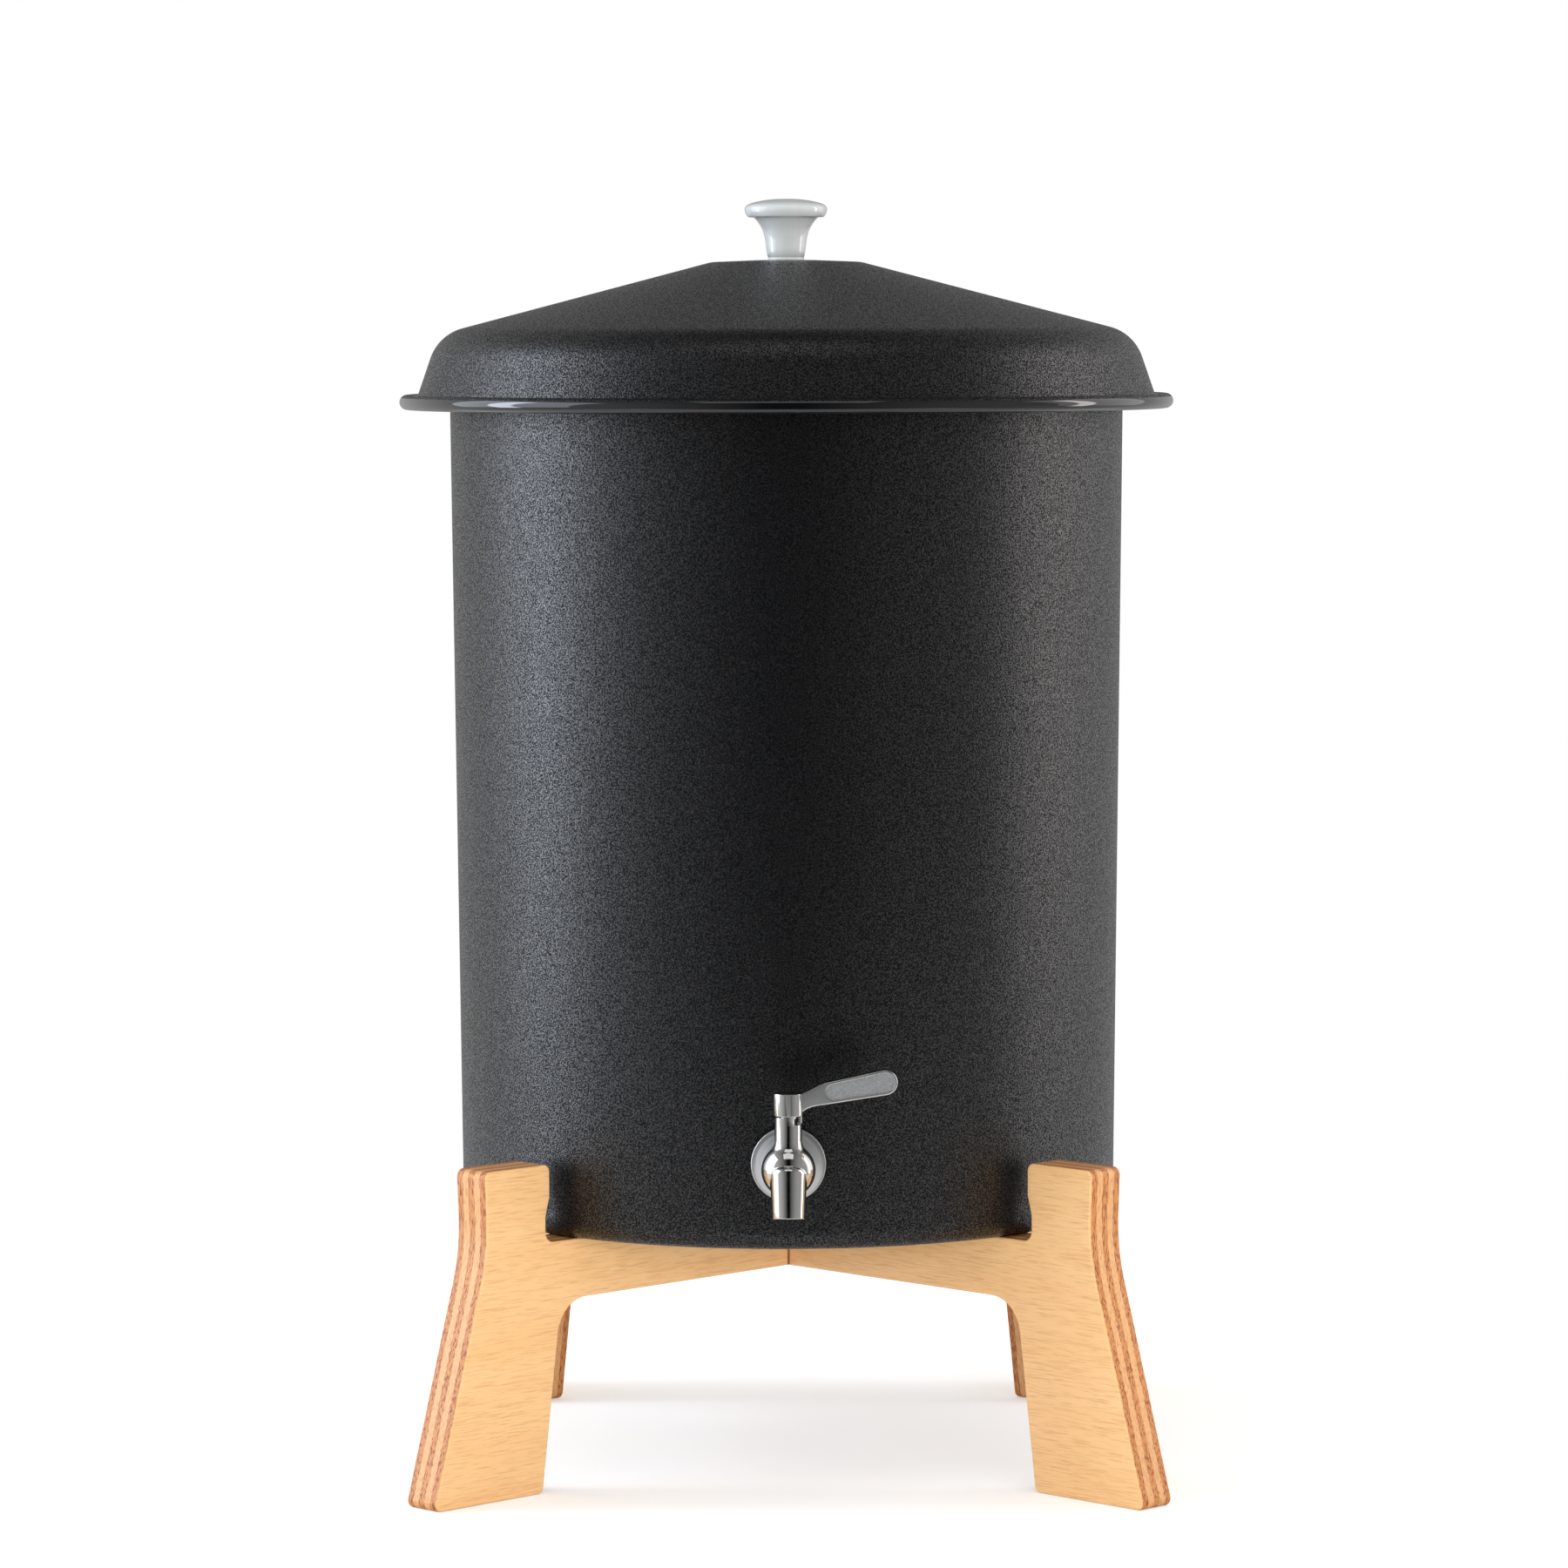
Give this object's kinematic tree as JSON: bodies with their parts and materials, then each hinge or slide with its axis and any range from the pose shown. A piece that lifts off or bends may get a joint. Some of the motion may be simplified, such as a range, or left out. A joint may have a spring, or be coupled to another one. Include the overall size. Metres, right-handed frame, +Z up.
{
  "type": "gravity water filter",
  "caption": "Countertop gravity water filter: clay pot inside a lidded enamelled container on crossed plywood panels, with a quarter-turn tap at the front.",
  "frame": {"origin": "on the floor, under the middle of the whole part; the container's vertical axis is 5.7 mm behind it, at X = 0, Y = +0.0057 m", "axes": "+Z up, the tap faces -Y, and its shut lever points to +X"},
  "size_m": [0.366, 0.3776, 0.5946],
  "materials": {
    "plywood": "sanded and clear lacquered",
    "enamel": "fine textured matte enamel",
    "fired_clay": "unglazed, fired",
    "porcelain": "glazed",
    "white_plastic": "moulded",
    "seal_rubber": "moulded",
    "brass": "turned",
    "stainless_satin": "turned",
    "stainless_polished": "mirror polished"
  },
  "bodies": {
    "stand": {"base_panel_a": "plywood", "base_panel_b": "plywood"},
    "container": {"container_shell": "enamel", "tap_front_seal": "seal_rubber", "tap_back_seal": "seal_rubber", "seat_washer": "white_plastic", "tap_back_washer": "stainless_satin", "tap_nut": "stainless_satin", "stem_retaining_screw": "stainless_satin", "tap_body": "stainless_polished", "tap_escutcheon": "stainless_polished"},
    "filter": {"filter_pot": "fired_clay"},
    "lid": {"lid_shell": "enamel", "lid_knob": "porcelain", "knob_washer": "white_plastic", "knob_seal": "seal_rubber", "knob_backing_washer": "stainless_satin", "knob_screw": "stainless_satin", "knob_insert": "brass"},
    "lever": {"tap_lever": "stainless_polished", "tap_plug": "stainless_satin", "stem_seals": "seal_rubber", "lever_stop_pin": "stainless_satin", "lever_set_screw": "stainless_satin"}
  },
  "joints": [
    {"name": "container_lift", "type": "slide", "parent": "stand", "child": "container", "axis": [0, 0, 1], "range_m": [0, 0.06]},
    {"name": "filter_lift", "type": "slide", "parent": "container", "child": "filter", "axis": [0, 0, 1], "range_m": [0, 0.24]},
    {"name": "lid_lift", "type": "slide", "parent": "filter", "child": "lid", "axis": [0, 0, 1], "range_m": [0, 0.12]},
    {"name": "lever_turn", "type": "hinge", "parent": "container", "child": "lever", "pos_m": [0, -0.17224, 0.1564], "axis": [0, 0, -1], "range_deg": [0, 90]}
  ]
}
